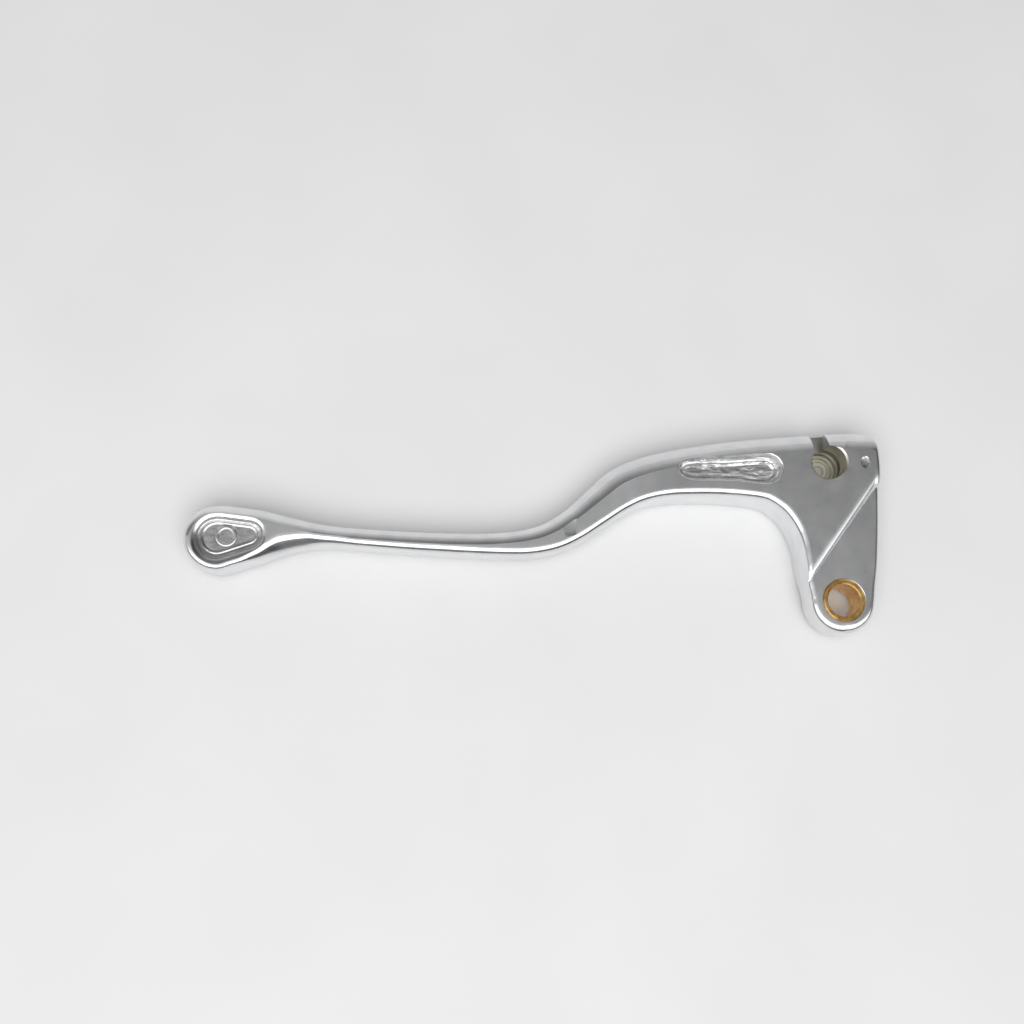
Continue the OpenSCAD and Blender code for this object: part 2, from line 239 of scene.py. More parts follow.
for share in (0, 0.25, 0.5, 0.75, 1):
    stations.append([
        on_circle((0, 0), eye_r, -90 * share),
        on_circle((0, 0), eye_r, 190 + 80 * share),
        mix(tongue_size, eye_size, 0.3 + 0.7 * share),
    ])
print("stations in all:", len(stations))

# %% [markdown]
# ## Smooth lines through the stations
#
# Between the stations the outlines are smooth curves, and the section sizes change without overshoot.
# A curve object could draw the outline, but it couldn't carry six section sizes along with it, so the
# curves are worked out here and the mesh is made from them.

# %% Smooth curves through the stations
def hermite(a, b, da, db, t):
    return (a * (2 * t**3 - 3 * t**2 + 1) + b * (3 * t**2 - 2 * t**3)
            + da * (t**3 - 2 * t**2 + t) + db * (t**3 - t**2))


def slopes_of(points, mate):
    """Tangents of an outline. At both ends it runs on into the outline of the other side."""
    slopes = np.zeros_like(points)
    slopes[1:-1] = (points[2:] - points[:-2]) / 2
    slopes[0] = (points[1] - mate[1]) / 2
    slopes[-1] = (mate[-2] - points[-2]) / 2
    return slopes


def easy_slopes(rows):
    """Slopes of the section sizes that never overshoot the stations."""
    slopes = np.zeros_like(rows)
    before = rows[1:-1] - rows[:-2]
    after = rows[2:] - rows[1:-1]
    least = np.minimum(abs(before), abs(after))
    slopes[1:-1] = np.where(before * after <= 0, 0, np.sign(before) * least)
    return slopes


def sample(points, slopes, steps):
    """Points on the curve, steps of them between each pair of stations."""
    out = []
    for i in range(len(points) - 1):
        for j in range(steps):
            out.append(hermite(points[i], points[i + 1], slopes[i], slopes[i + 1], j / steps))
    out.append(points[-1])
    return np.array(out)


# %% The two outlines of the lever
STEPS = 8
key_front = np.array([s[0] for s in stations], float)
key_rear = np.array([s[1] for s in stations], float)
key_size = np.array([s[2] for s in stations], float)
front_line = sample(key_front, slopes_of(key_front, key_rear), STEPS)
rear_line = sample(key_rear, slopes_of(key_rear, key_front), STEPS)
size_rows = sample(key_size, easy_slopes(key_size), STEPS)


def outward(line, mate, sign):
    """Unit arrows square to an outline, pointing out of the metal."""
    d = np.zeros_like(line)
    d[1:-1] = line[2:] - line[:-2]
    d[0] = line[1] - mate[1]
    d[-1] = mate[-2] - line[-2]
    d /= np.linalg.norm(d, axis=1)[:, None]
    return sign * np.stack([-d[:, 1], d[:, 0]], 1)


front_out = outward(front_line, rear_line, 1)
rear_out = outward(rear_line, front_line, -1)
print("sections:", len(front_line))

# %% [markdown]
# ## The edges
#
# The foundry's casting is linished flat on its faces and buffed by hand on its edges. The rear edge is a
# soft roll, a narrow steeper land, and then the wall, which gives it a bright line beside a dark one. The
# front is a wide round, the nose, that leaves the flat with a crease. Both are rows of distance in from
# the wall and depth below the flat, so they can be laid square to any outline.

# %% Rounded edges
def round_edge(w, d, start, count):
    """Rows of [distance in from the wall, depth below the flat] from the wall up to the flat."""
    first = max(start, 2 * math.degrees(math.atan2(d, w)) - 90)
    last = 2 * math.degrees(math.atan2(d, w)) - first
    r = math.hypot(w, d) / (2 * math.sin(math.radians(last - first) / 2))
    angles = np.radians(np.linspace(last, first, count))
    across = r * (math.sin(angles[0]) - np.sin(angles))
    down = r * (math.cos(angles[-1]) - np.cos(angles))
    return np.stack([across, down], 1)


REAR_LANDS = [(8, 0.12), (16, 0.13), (24, 0.14), (32, 0.13), (38, 0.1), (46, 0.22), (49, 0.22),
              (65, 0.12), (76, 0.1), (85, 0.1)]
STEEP_LANDS = (46, 49)
FRONT_COUNT = 16
EDGE_COUNT = 6
LEAST_LEAN = 0.3
LEAN_FROM = 0.45
LEAN_SPAN = 0.35


def rear_edge(w, steep=1.0):
    """The buffed rear edge, w wide, as rows from the wall up to the flat.

    A land has a tilt and a length, and steep makes the steep lands longer.
    """
    lands = []
    for tilt, length in REAR_LANDS:
        length *= steep if tilt in STEEP_LANDS else 1
        lands.append([length * math.cos(math.radians(tilt)), length * math.sin(math.radians(tilt))])
    lands = np.array(lands)
    rows = np.concatenate([[[0, 0]], np.cumsum(lands, axis=0)]) * w / lands[:, 0].sum()
    rows[:, 0] = w - rows[:, 0]
    return rows[::-1]


print("the rear edge goes down", round(float(rear_edge(rear_r)[0, 1]), 2), "mm")


# %% The hub's front corner
def corner_rows(front, front_in, share):
    """The nose runs straight to the hub's corner, where a small round of the side wall cuts it off."""
    deepest = hub_h / 2 - middle_gap
    nose = round_edge(nose_w, deepest, arm_start, 60)
    edge = round_edge(side_r, side_r, side_start, 24)
    crease = (front[1] - (hub_reach - nose_w)) / max(-front_in[1], LEAST_LEAN)
    reach = max(crease, side_r * 1.5)
    on_edge = np.linspace(0, side_r * 0.75, EDGE_COUNT)
    insets = np.concatenate([on_edge, np.linspace(side_r, reach, FRONT_COUNT - EDGE_COUNT)])
    rows = []
    for t in insets:
        from_front = hub_reach - (front[1] + front_in[1] * t)
        down_nose = np.interp(from_front, nose[:, 0], nose[:, 1], right=0)
        down_edge = np.interp(t, edge[:, 0], edge[:, 1], right=0) * share
        rows.append([t, min(math.hypot(down_nose, down_edge), deepest)])
    return np.array(rows)


# %% One section
def inward(square, along, lean, planar):
    """The way in from a wall: along the section where it crosses the wall, and square to it elsewhere.

    planar weighs the first against the second.
    """
    share = min(1, max(0, (lean - LEAN_FROM) / LEAN_SPAN))
    share = planar * share * share * (3 - 2 * share)
    return square * (1 - share) + along * share / max(lean, LEAST_LEAN)


def section_ring(front, rear, front_out, rear_out, size, planar=1.0, corner=None):
    """The upper half of one section, from the rear wall over the flat to the front wall.

    corner is None, or how much of the side wall's round the hub's front corner has.
    """
    half_h, front_w, front_d, start, rear_w, steep = size
    gap = np.linalg.norm(front - rear)
    across = (front - rear) / gap if gap > 1e-6 else np.zeros(2)
    front_lean = abs(front_out @ across)
    rear_lean = abs(rear_out @ across)
    need = front_w * front_lean + rear_w * rear_lean
    fit = min(1, gap * fullest / need) if need > 0 else 1
    front_in = inward(-front_out, -across, front_lean, planar)
    rear_in = inward(-rear_out, across, rear_lean, planar)
    if corner is None:
        nose = round_edge(front_w * fit, min(front_d, half_h - middle_gap), start, FRONT_COUNT)
    else:
        nose = corner_rows(front, front_in, corner)
    rows = [[*(rear + rear_in * e[0]), half_h - e[1]] for e in rear_edge(rear_w * fit, steep)]
    rows += [[*(front + front_in * e[0]), half_h - e[1]] for e in nose[::-1]]
    return np.array(rows)


# %% Joining the rings into a closed body
def put_in_scene(name, data):
    piece = bpy.data.objects.new(name, data)
    bpy.context.scene.collection.objects.link(piece)
    return piece


def body_of(name, rings):
    """Closed mesh through the half rings, mirrored below the middle plane. Both ends are single seams."""
    half = len(rings[0])
    count = 2 * half
    seam = len(REAR_LANDS) + 1
    full = np.array([np.concatenate([r, r[::-1] * [1, 1, -1]]) for r in rings])

    def twin(j):
        """The point of a closed end's rear half that a point of its front half falls on."""
        return max(0, seam - 1 - (j - seam) * seam // (half - seam))

    points = []
    index = np.zeros((len(full), count), int)
    for i, ring in enumerate(full):
        closed = i in (0, len(full) - 1)
        for j, p in enumerate(ring):
            if closed and seam <= j < count - seam:
                continue
            index[i, j] = len(points)
            points.append(p)
        if closed:
            for j in range(seam, half):
                index[i, j] = index[i, twin(j)]
                index[i, count - 1 - j] = index[i, count - 1 - twin(j)]
    faces = []
    for i in range(len(full) - 1):
        for j in range(count):
            k = (j + 1) % count
            clean = []
            for v in (index[i, j], index[i, k], index[i + 1, k], index[i + 1, j]):
                if v not in clean:
                    clean.append(int(v))
            if len(clean) > 2:
                faces.append(clean)
    mesh = bpy.data.meshes.new(name)
    mesh.from_pydata((np.array(points) * MM).tolist(), [], faces)
    mesh.validate()
    return put_in_scene(name, mesh)


# %% [markdown]
# ## The step down to the tongue
#
# The tongue is 2 mm lower than the hub on both faces, so that it goes between the ears of the perch. The
# step runs slanting across the lever. Its sections are laid parallel to its foot, close together, and
# their height follows a short profile: a tight foot, a steep face and a softly rolled upper edge.

# %% Profile of the step
along = (foot_side - foot_rear) / np.linalg.norm(foot_side - foot_rear)
uphill = np.array([-along[1], along[0]])
step_lands = [(40, 0.07), (68, 0.12), (71, 0.33), (50, 0.1), (34, 0.16), (27, 0.3), (21, 0.42),
              (14, 0.5), (6, 0.5)]
foot_start = 0.1
land_rises = [run * math.tan(math.radians(tilt)) for tilt, run in step_lands]
knots = np.concatenate([[0], np.cumsum([run for _, run in step_lands])]) - foot_start
rises = np.concatenate([[0], np.cumsum(land_rises)])
rises *= (hub_h - tongue_h) / 2 / rises[-1]
print("the step is", round(float(knots[-1] - knots[0]), 2), "mm wide")


def step_height(s):
    return tongue_h / 2 + float(np.interp(s, knots, rises))


# %% Sections of the step
first = hub_last * STEPS
last = (hub_last + 4) * STEPS
side_s = (front_line - foot_side) @ uphill
back_s = (rear_line - foot_rear) @ uphill
on_hub = [2.75, 2.55]
on_face = sorted([*knots.tolist(), 0.2], reverse=True)
on_tongue = [-0.2, -0.4, -0.62, -0.85]
size_run = 1.4
span = slice(first - STEPS // 2, last + STEPS // 2)


def on_line(line, values, s):
    """What a line has where values reach s."""
    order = np.argsort(values[span])
    return np.array([np.interp(s, values[span][order], line[span][order][:, k]) for k in (0, 1)])


def soft(x, low, high):
    """A soft change from 0 at low to 1 at high."""
    share = min(1, max(0, (x - low) / (high - low)))
    return share * share * (3 - 2 * share)


# %% [markdown]
# ## The casting
#
# The rings of points are joined by faces, as a boat is planked. A modifier can't change the rounds of a
# section along its way, so this is done in mesh code. The step's own sections take the place of the
# stations' sections there.

# %% The rings of the lever
ARM_PLANAR = (14, 20)
EYE_SQUARE = (34, 38)
CORNER_RUN = 1.5


def station_ring(i, planar, corner=None):
    return section_ring(front_line[i], rear_line[i], front_out[i], rear_out[i], size_rows[i], planar,
                        corner)


def step_ring(s):
    front = on_line(front_line, side_s, s)
    rear = on_line(rear_line, back_s, s)
    size = mix(tongue_size, side_size, min(1, max(0, s / size_run)))
    size[0] = step_height(s)
    corner = 1.0 if s > foot_start else None
    return section_ring(front, rear, on_line(front_out, side_s, s), on_line(rear_out, back_s, s), size,
                        corner=corner)


def lever_rings():
    rings = []
    for i in range(first + 1):
        at = i / STEPS
        corner = soft(at, corner_first, corner_first + CORNER_RUN) if at >= corner_first else None
        rings.append(station_ring(i, soft(at, *ARM_PLANAR), corner))
    rings += [step_ring(s) for s in on_hub + on_face + on_tongue]
    rings += [station_ring(i, 1 - soft(i / STEPS, *EYE_SQUARE)) for i in range(last, len(front_line))]
    return rings


lever = body_of("lever_casting", lever_rings())
print("raw casting:", len(lever.data.polygons), "faces")

# %% [markdown]
# ## Aluminium finishes
#
# The same metal shows in five finishes: linished and buffed outside, cast rough in the pocket and finer
# in the dish, machined in the barrel hole and milled in the slot. One function makes them all. A noise
# gives cloudy tone and roughness, a fine noise gives the grain, and a broad one lets the flats wander a
# little, as hand work does. The outside's flats are satin and its rounds are brighter, so its roughness
# follows how level the surface is.

# %% Node helpers
def material_of(name):
    material = bpy.data.materials.new(name)
    material.use_nodes = True
    return material, material.node_tree, material.node_tree.nodes["Principled BSDF"]


def node_of(tree, kind, **values):
    node = tree.nodes.new(kind)
    for key, value in values.items():
        setattr(node, key, value)
    return node


def noise_of(tree, place, scale, detail, stretch=None):
    if stretch:
        mapping = node_of(tree, "ShaderNodeMapping")
        mapping.inputs["Scale"].default_value = stretch
        tree.links.new(place, mapping.inputs["Vector"])
        place = mapping.outputs["Vector"]
    noise = node_of(tree, "ShaderNodeTexNoise")
    noise.inputs["Scale"].default_value = scale
    noise.inputs["Detail"].default_value = detail
    tree.links.new(place, noise.inputs["Vector"])
    return noise.outputs["Fac"]


def soft_step(tree, source, low, high, to_low=0.0, to_high=1.0):
    node = node_of(tree, "ShaderNodeMapRange", interpolation_type="SMOOTHSTEP")
    node.inputs["From Min"].default_value = low
    node.inputs["From Max"].default_value = high
    node.inputs["To Min"].default_value = to_low
    node.inputs["To Max"].default_value = to_high
    tree.links.new(source, node.inputs["Value"])
    return node.outputs["Result"]


def maths(tree, operation, a, b=None):
    node = node_of(tree, "ShaderNodeMath", operation=operation)
    for socket, value in zip(node.inputs, (a, b)):
        if value is None:
            continue
        if hasattr(value, "is_output"):
            tree.links.new(value, socket)
        else:
            socket.default_value = value
    return node.outputs[0]


def tone_of(tree, source, stops):
    """A colour that follows a value. stops are two rows of [value, colour]."""
    ramp = node_of(tree, "ShaderNodeValToRGB")
    for element, (value, colour) in zip(ramp.color_ramp.elements, stops):
        element.position = value
        element.color = (*colour, 1)
    tree.links.new(source, ramp.inputs["Fac"])
    return ramp.outputs["Color"]


def bump_of(tree, height, depth, under=None):
    """Unevenness, depth in mm, on top of the one under it."""
    bump = node_of(tree, "ShaderNodeBump")
    bump.inputs["Strength"].default_value = 1
    bump.inputs["Distance"].default_value = depth * MM
    tree.links.new(height, bump.inputs["Height"])
    if under:
        tree.links.new(under, bump.inputs["Normal"])
    return bump.outputs["Normal"]


# %% Aluminium
CLOUD_SCALE = 260
LEVEL_FROM = 0.96
LEVEL_TO = 0.995


def aluminium(name, dark, light, flat_rough, round_rough, layers):
    """Metal with cloudy tone. layers are bumps of [noise scale, detail, depth in mm, stretch]."""
    material, tree, shader = material_of(name)
    shader.inputs["Metallic"].default_value = 1
    place = node_of(tree, "ShaderNodeTexCoord").outputs["Object"]
    cloud = noise_of(tree, place, CLOUD_SCALE, 4)
    tree.links.new(tone_of(tree, cloud, [(0.3, dark), (0.7, light)]), shader.inputs["Base Color"])
    level = node_of(tree, "ShaderNodeSeparateXYZ")
    tree.links.new(node_of(tree, "ShaderNodeNewGeometry").outputs["Normal"], level.inputs["Vector"])
    upright = maths(tree, "ABSOLUTE", level.outputs["Z"])
    rough = soft_step(tree, upright, LEVEL_FROM, LEVEL_TO, round_rough, flat_rough)
    uneven = maths(tree, "ADD", maths(tree, "MULTIPLY", cloud, 0.5), 0.75)
    tree.links.new(maths(tree, "MULTIPLY", rough, uneven), shader.inputs["Roughness"])
    normal = None
    for scale, detail, depth, stretch in layers:
        normal = bump_of(tree, noise_of(tree, place, scale, detail, stretch), depth, normal)
    tree.links.new(normal, shader.inputs["Normal"])
    return material


buffed = aluminium("aluminium_linished_and_buffed", (0.72, 0.73, 0.745), (0.82, 0.82, 0.825),
                   0.3, 0.16, [(45, 1, 0.25, None), (1400, 3, 0.006, (0.35, 1, 1))])
rough_cast = aluminium("aluminium_as_cast", (0.66, 0.665, 0.665), (0.86, 0.86, 0.855), 0.34, 0.34,
                       [(480, 2, 0.6, (0.45, 1, 1)), (1500, 3, 0.14, None)])
cast_skin = aluminium("aluminium_cast_skin", (0.56, 0.565, 0.565), (0.76, 0.76, 0.755), 0.3, 0.3,
                      [(600, 2, 0.1, None), (1500, 3, 0.05, None)])
machined = aluminium("aluminium_machined", (0.56, 0.545, 0.47), (0.78, 0.76, 0.67), 0.36, 0.36,
                     [(1500, 3, 0.02, (1, 1, 0.2))])
milled = aluminium("aluminium_milled", (0.56, 0.56, 0.54), (0.7, 0.7, 0.68), 0.34, 0.34,
                   [(1300, 3, 0.02, (1, 0.2, 1))])
lever.data.materials.append(buffed)
print("finishes:", buffed.name, rough_cast.name, cast_skin.name, machined.name, milled.name)

# %% [markdown]
# ## Cutting tools
#
# Holes and hollows are cut with closed meshes that are taken away by an exact boolean, as the machine
# shop does it. Each tool carries the finish that it leaves behind, and the boolean hands it over to the
# new faces.

# %% Cutting helpers
def tool_from(bm, name, finish):
    mesh = bpy.data.meshes.new(name)
    bmesh.ops.recalc_face_normals(bm, faces=bm.faces)
    bm.to_mesh(mesh)
    bm.free()
    mesh.materials.append(finish)
    return put_in_scene(name, mesh)


def join_loops(bm, rings):
    """Faces between loops of points that follow one another. A loop of one point is a tip."""
    for low, high in zip(rings, rings[1:]):
        for k in range(max(len(low), len(high))):
            n = (k + 1) % max(len(low), len(high))
            if len(low) == 1:
                bm.faces.new((low[0], high[n], high[k]))
            elif len(high) == 1:
                bm.faces.new((low[k], low[n], high[0]))
            else:
                bm.faces.new((low[k], low[n], high[n], high[k]))


ROUND_COUNT = 96


def turned(name, profile, centre, finish, stretch=1.0):
    """A tool turned round a vertical axis. profile is rows of [radius, height], from the bottom up."""
    bm = bmesh.new()
    rings = []
    for r, z in profile:
        ring = []
        for k in range(ROUND_COUNT if r > 0 else 1):
            turn = 2 * math.pi * k / ROUND_COUNT
            x = centre[0] + r * math.cos(turn)
            y = centre[1] + r * stretch * math.sin(turn)
            ring.append(bm.verts.new((x * MM, y * MM, z * MM)))
        rings.append(ring)
    join_loops(bm, rings)
    return tool_from(bm, name, finish)


def prism(name, outline, low, high, finish):
    """A tool with straight walls: an outline drawn up from one height to another."""
    bm = bmesh.new()
    rings = [[bm.verts.new((x * MM, y * MM, z * MM)) for x, y in outline] for z in (low, high)]
    bm.faces.new(rings[0])
    bm.faces.new(rings[1])
    join_loops(bm, rings)
    return tool_from(bm, name, finish)


def cut(piece, tool):
    """Takes the tool away from the piece with an exact boolean and removes the tool."""
    step = piece.modifiers.new("cut", "BOOLEAN")
    step.operation = "DIFFERENCE"
    step.solver = "EXACT"
    step.object = tool
    step.material_mode = "TRANSFER"
    bpy.context.view_layer.update()
    graph = bpy.context.evaluated_depsgraph_get()
    mesh = bpy.data.meshes.new_from_object(piece.evaluated_get(graph), preserve_all_data_layers=True,
                                           depsgraph=graph)
    piece.modifiers.clear()
    old = piece.data
    piece.data = mesh
    bpy.data.meshes.remove(old)
    data = tool.data
    print(tool.name, "leaves", len(mesh.polygons), "faces")
    bpy.data.objects.remove(tool)
    bpy.data.meshes.remove(data)


# %% All faces of the casting look outward
bm = bmesh.new()
bm.from_mesh(lever.data)
bmesh.ops.recalc_face_normals(bm, faces=bm.faces)
bm.to_mesh(lever.data)
bm.free()

# %% [markdown]
# ## The barrel hole and the cable's way
#
# The cable ends in a round barrel that drops into this hole from the underside. A slot lets the cable in,
# and a wedge-shaped slit lets it swing as the lever turns. The drill and the cutter leave rings on the
# hole's floor, which the profile gives. The eye is bored out for the bush in the same way.

# %% Barrel hole and slots
floor_z = hub_h / 2 - barrel_depth
face_z = hub_h / 2
hole = turned("barrel_hole", [
    (0, floor_z - 0.7), (1.3, floor_z - 0.35), (1.4, floor_z - 0.2), (2.3, floor_z - 0.1),
    (2.4, floor_z + 0.05), (3.1, floor_z + 0.1), (3.2, floor_z + 0.3), (3.9, floor_z + 0.35),
    (barrel_r, floor_z + 0.8), (barrel_r, face_z - 0.35), (barrel_r + 0.45, face_z),
    (barrel_r + 1.4, face_z + 0.8), (0, face_z + 0.8),
], barrel, machined)
cut(lever, hole)
past_wall = 20
slot_left = barrel[0] - barrel_r + 0.5
slot_right = slot_left + entry_w
cut(lever, prism("entry_slot", [
    (slot_left, barrel[1]), (slot_right, barrel[1]),
    (slot_right, barrel[1] + past_wall), (slot_left, barrel[1] + past_wall),
], -slot_h / 2, hub_h, milled))
cut(lever, prism("cable_sweep", [
    (barrel[0], barrel[1] - 2), (barrel[0] + past_wall, barrel[1] - 6),
    (barrel[0] + past_wall, barrel[1] + 17), (barrel[0], barrel[1] + 17),
], -slot_h / 2, slot_h / 2, machined))

# %% Seat of the bush, with a bevel at both mouths
mouth_z = 4.7
end_z = 8
end_r = bush_r + end_z - mouth_z
cut(lever, turned("bush_seat", [
    (0, -end_z), (end_r, -end_z), (bush_r, -mouth_z), (bush_r, mouth_z), (end_r, end_z), (0, end_z),
], (0, 0), buffed))

# %% [markdown]
# ## Hollows and marks of the casting
#
# The dish in the ball end and the pocket in the arm save metal and are left as cast. Each is a basin: a
# smooth outline moved inward and downward row by row. Small round marks show where the mould's pins
# pushed the casting out.

# %% Basins
LOOP_STEP = 0.25


def even_loop(points, spread):
    """A closed outline with a point every LOOP_STEP mm, smoothed over about spread mm."""
    ring = np.vstack([points, points[:1]])
    run = np.concatenate([[0], np.cumsum(np.linalg.norm(np.diff(ring, axis=0), axis=1))])
    where = np.linspace(0, run[-1], int(run[-1] / LOOP_STEP), endpoint=False)
    line = np.stack([np.interp(where, run, ring[:, k]) for k in (0, 1)], 1)
    for _ in range(int((spread / LOOP_STEP) ** 2 * 2)):
        line = line * 0.5 + (np.roll(line, 1, 0) + np.roll(line, -1, 0)) * 0.25
    return line


def basin(name, outline, rows, top, finish, lip=0, lean=0.0):
    """A tool with a flat floor: rows of [distance in, depth], of which the first lip steps are buffed.

    lean makes the rear wall wider than the front.
    """
    following = np.roll(outline, -1, 0)
    run = following - np.roll(outline, 1, 0)
    run /= np.linalg.norm(run, axis=1)[:, None]
    area = np.sum(outline[:, 0] * following[:, 1] - outline[:, 1] * following[:, 0])
    inside = np.stack([-run[:, 1], run[:, 0]], 1) * np.sign(area)
    bm = bmesh.new()
    rings = []
    for inset, depth in rows:
        place = outline + inside * (inset * (1 + lean * inside[:, 1]))[:, None]
        rings.append([bm.verts.new((x * MM, y * MM, (top - depth) * MM)) for x, y in place])
    bm.faces.new(rings[0])
    bm.faces.new(rings[-1])
    join_loops(bm, rings)
    bm.faces.ensure_lookup_table()
    for face in bm.faces[2:2 + lip * len(outline)]:
        face.material_index = 1
    tool = tool_from(bm, name, finish)
    tool.data.materials.append(buffed)
    return tool


# %% Dish in the ball end
dish_r = ball_r - dish_rim
dish_c = ball + np.array([-0.15, -0.65])
dish_taper = 0.69
dish_reach = 1.36
small_r = dish_r * dish_taper
small_c = dish_c + np.array([dish_r * dish_reach, 0.85])
dish_loop = [on_circle(dish_c, dish_r, a) for a in range(80, 281, 10)]
dish_loop += [on_circle(small_c, small_r, a) for a in range(-75, 76, 10)]
cut(lever, basin("dish", even_loop(np.array(dish_loop), 0.7), [
    (-1.3, -0.45), (-0.75, -0.02), (-0.35, 0.09), (0.0, 0.28), (0.3, 0.52), (0.42, 0.95),
    (0.65, 1.35), (1.0, 1.58), (1.45, 1.68), (1.7, 1.52), (1.95, 1.66), (2.2, dish_depth),
], ball_h / 2, cast_skin, lip=4, lean=0.2))
dish_z = ball_h / 2 - dish_depth
pin_place = (-147.4, 14.15)
cut(lever, turned("pin_mark", [
    (0, dish_z - 0.3), (1.6, dish_z - 0.3), (1.95, dish_z - 0.02), (2.3, dish_z - 0.02),
    (2.55, dish_z - 0.16), (2.75, dish_z - 0.16), (2.9, dish_z + 0.12), (0, dish_z + 0.12),
], pin_place, cast_skin))

# %% Pocket in the arm
p_rear = arm_back + pocket_web
p_front = p_rear + pocket_w
pocket_loop = [(arm_x(x), y) for x, y in (
    (0.668, p_front - 3.4), (0.66, p_front - 1.9), (0.635, p_front - 0.7), (0.59, p_front - 0.3),
    (0.5, p_front - 0.15), (0.42, p_front + 0.1), (0.34, p_front + 0.55), (0.29, p_front + 0.65),
    (0.255, p_front - 0.4), (0.236, p_front - 2.2), (0.236, p_front - 4.2), (0.255, p_rear + 0.3),
    (0.29, p_rear - 0.7), (0.34, p_rear - 0.65), (0.42, p_rear), (0.5, p_rear), (0.6, p_rear - 0.05),
    (0.64, p_rear + 0.5), (0.662, p_rear + 1.6),
)]
cut(lever, basin("pocket", even_loop(np.array(pocket_loop), 0.6), [
    (-0.6, -0.5), (-0.1, 0), (0.1, 0.15), (0.25, 0.6), (0.4, 1.3), (0.65, 1.9), (1.0, 2.3),
    (1.4, 2.45), (1.75, 2.2), (2.05, 2.45), (2.3, 2.6),
], hub_h / 2, rough_cast, lip=2))


# %% Small marks
def height_at(x, y):
    above = Vector((x * MM, y * MM, 20 * MM))
    return lever.ray_cast(above, Vector((0, 0, -1)))[1].z / MM


def round_mark(name, x, y, r, depth, stretch=1.0):
    top = height_at(x, y)
    print(name, "lies at height", round(top, 2), "mm")
    cut(lever, turned(name, [
        (0, top - depth), (r * 0.6, top - depth * 0.9), (r * 0.88, top - depth * 0.5), (r, top),
        (r * 1.2, top + depth), (0, top + depth),
    ], (x, y), buffed, stretch))


round_mark("neck_mark", x=-66.3, y=17.2, r=2.3, depth=0.1)
round_mark("hub_mark", x=6.2, y=33.6, r=1.15, depth=0.35, stretch=1.35)

# %% [markdown]
# ## Shading
#
# Faces that meet at a small angle are shaded as one smooth surface, and sharper edges stay crisp. The
# weighted normals modifier keeps the big flats flat right up to their edges.

# %% Smooth shading with crisp edges
WELD = 0.00001


def shade(piece, crisp_from):
    """Edges that turn by crisp_from degrees or more stay crisp."""
    bm = bmesh.new()
    bm.from_mesh(piece.data)
    bmesh.ops.remove_doubles(bm, verts=bm.verts, dist=WELD)
    limit = math.radians(crisp_from)
    for f in bm.faces:
        f.smooth = True
    for e in bm.edges:
        e.smooth = len(e.link_faces) == 2 and e.calc_face_angle(4) < limit
    bm.to_mesh(piece.data)
    bm.free()
    weights = piece.modifiers.new("even shading", "WEIGHTED_NORMAL")
    weights.keep_sharp = True
    weights.mode = "FACE_AREA"
    weights.weight = 100


shade(lever, crisp_from=17)
print("lever:", len(lever.data.polygons), "faces")

# %% Handing the casting to the frame
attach(lever, "root")
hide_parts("lever")

# %% [markdown]
# ## The bronze bush
#
# The bush is a plain sleeve of sintered bronze, turned to size, so the CAD solid keeps its shape and only
# gets its finish here: an orange-gold metal with fine turning rings, a little browner in patches.

# %% Bronze
brown = (0.72, 0.36, 0.085)
gold = (0.98, 0.7, 0.3)
ring_rate = 16000
bronze, tree, shader = material_of("bronze_turned")
shader.inputs["Metallic"].default_value = 1
place = node_of(tree, "ShaderNodeTexCoord").outputs["Object"]
patches = noise_of(tree, place, 420, 3)
tree.links.new(tone_of(tree, patches, [(0.32, brown), (0.68, gold)]), shader.inputs["Base Color"])
tree.links.new(soft_step(tree, patches, 0.3, 0.7, 0.2, 0.34), shader.inputs["Roughness"])
axes = node_of(tree, "ShaderNodeSeparateXYZ")
tree.links.new(place, axes.inputs["Vector"])
squares = [maths(tree, "MULTIPLY", axes.outputs[k], axes.outputs[k]) for k in "XY"]
radius = maths(tree, "SQRT", maths(tree, "ADD", *squares))
around = maths(tree, "ADD", radius, axes.outputs["Z"])
rings = maths(tree, "SINE", maths(tree, "MULTIPLY", around, ring_rate))
tree.links.new(bump_of(tree, rings, 0.006), shader.inputs["Normal"])
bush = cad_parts["pivot_bush"]
bush.data.materials.clear()
bush.data.materials.append(bronze)

# %% [markdown]
# ## The table
#
# The lever lies on pale paper. A very light mottle keeps it from looking computed, and it has no shine of
# its own, so that only the soft shadow shows.

# %% Table
corners = [(x, y, table_z * MM) for x, y in ((-3, -3), (3, -3), (3, 3), (-3, 3))]
mesh = bpy.data.meshes.new("table")
mesh.from_pydata(corners, [], [(0, 1, 2, 3)])
table = put_in_scene("table", mesh)
paper_dark = (0.785, 0.785, 0.79)
paper_light = (0.815, 0.815, 0.815)
paper, tree, shader = material_of("table_paper")
shader.inputs["Roughness"].default_value = 0.9
shader.inputs["Specular IOR Level"].default_value = 0
place = node_of(tree, "ShaderNodeTexCoord").outputs["Object"]
mottle = tone_of(tree, noise_of(tree, place, 22, 2), [(0.3, paper_dark), (0.7, paper_light)])
tree.links.new(mottle, shader.inputs["Base Color"])
table.data.materials.append(paper)

# %% [markdown]
# ## Light
#
# Bright metal shows its surroundings more than its own colour, so the room is drawn for it. One softbox
# stands above on the near side, and its soft shadow falls behind the lever. The world around is a dim
# room: darker to the right, light low on the back wall, and a wide bright panel on the near side that
# ends above a dark horizon. That panel and that dark band draw the lines along the edges.

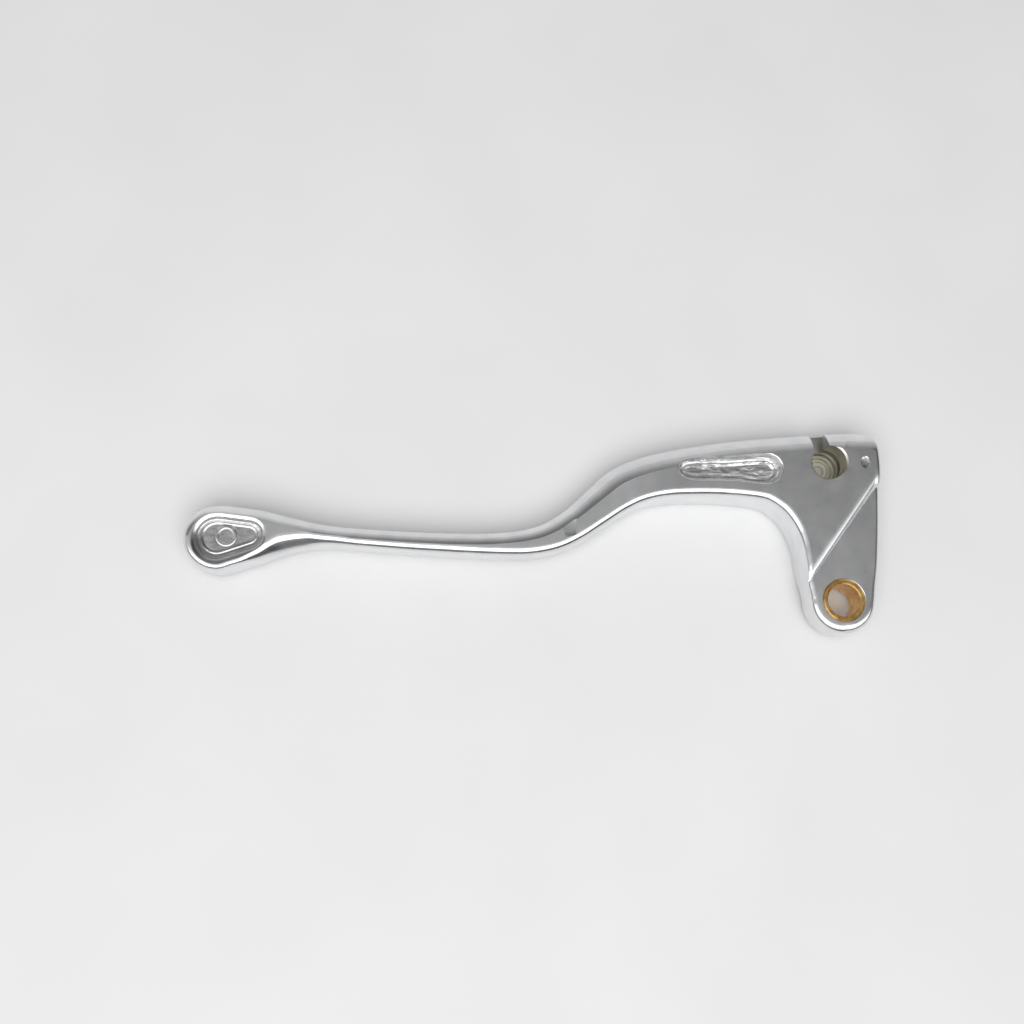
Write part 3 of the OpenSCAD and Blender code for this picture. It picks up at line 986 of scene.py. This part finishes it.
# %% Softbox
lamp = bpy.data.lights.new("softbox", "AREA")
lamp.shape = "DISK"
lamp.size = 0.8
lamp.energy = 5.2
softbox = put_in_scene("softbox", lamp)
softbox.location = (-0.12, -0.27, 0.75)
middle_of_lever = Vector((-0.08, 0.02, 0))
aim = middle_of_lever - softbox.location
softbox.rotation_euler = aim.to_track_quat("-Z", "Y").to_euler()
softbox.visible_glossy = False
print("softbox stands", round(aim.length, 2), "m away")

# %% The room
world = bpy.data.worlds.new("studio")
bpy.context.scene.world = world
world.use_nodes = True
tree = world.node_tree
tree.nodes.clear()
split = node_of(tree, "ShaderNodeSeparateXYZ")
tree.links.new(node_of(tree, "ShaderNodeTexCoord").outputs["Generated"], split.inputs["Vector"])
side, back, height = (split.outputs[k] for k in "XYZ")
from_left = soft_step(tree, side, 0.1, 0.5, 1, 0.35)
from_near = soft_step(tree, back, 0.1, 0.34, 0.58, 0.18)
ceiling = maths(tree, "MULTIPLY", from_left, from_near)
near = soft_step(tree, back, -0.3, 0.1, 1, 0)
horizon = soft_step(tree, height, 0.2, 0.34, 0.75, 0)
unshaded = maths(tree, "SUBTRACT", 1, maths(tree, "MULTIPLY", near, horizon))
room = maths(tree, "MULTIPLY", ceiling, unshaded)
wall_light = soft_step(tree, height, -0.1, 0.62, 0.45, 0)
wall = maths(tree, "MULTIPLY", wall_light, soft_step(tree, back, 0.15, 0.45))
above_foot = soft_step(tree, height, 0.22, 0.36)
below_top = soft_step(tree, height, 0.84, 0.95, 1, 0)
panel_light = soft_step(tree, back, -0.42, 0.04, 1.6, 0)
panel = maths(tree, "MULTIPLY", maths(tree, "MULTIPLY", above_foot, below_top), panel_light)
seen = maths(tree, "ADD", maths(tree, "ADD", room, wall), panel)
backdrop = 0.9
fill_light = 0.4
path = node_of(tree, "ShaderNodeLightPath")
pale = soft_step(tree, path.outputs["Is Camera Ray"], 0, 1, fill_light, backdrop)
level = node_of(tree, "ShaderNodeMix", data_type="FLOAT")
tree.links.new(path.outputs["Is Glossy Ray"], level.inputs[0])
tree.links.new(pale, level.inputs[2])
tree.links.new(seen, level.inputs[3])
sky = node_of(tree, "ShaderNodeBackground")
tree.links.new(level.outputs[0], sky.inputs["Color"])
out = node_of(tree, "ShaderNodeOutputWorld")
tree.links.new(sky.outputs["Background"], out.inputs["Surface"])

# %% [markdown]
# ## Camera
#
# The camera looks almost straight down from 33 cm, a little from the rear. Its place and turn were worked
# out from the pivot hole, the lever's ends and the way its walls show.

# %% Camera
sensor = 36
focal_pixels = 1385
picture_pixels = 1024
lens = bpy.data.cameras.new("camera")
lens.lens = sensor * focal_pixels / picture_pixels
lens.sensor_width = sensor
lens.clip_start = 0.01
camera = put_in_scene("camera", lens)
right = Vector((0.997885961, 0, 0.0649893053))
up = Vector((-0.0127896849, 0.980444304, 0.196380727))
behind = Vector((-0.0637183942, -0.196796763, 0.978371606))
turn = Matrix((right, up, behind)).transposed().to_4x4()
stand = (-0.101025, -0.044625, 0.328921)
camera.matrix_world = Matrix.Translation(stand) @ turn
bpy.context.scene.camera = camera
bpy.context.scene.view_settings.view_transform = "Standard"
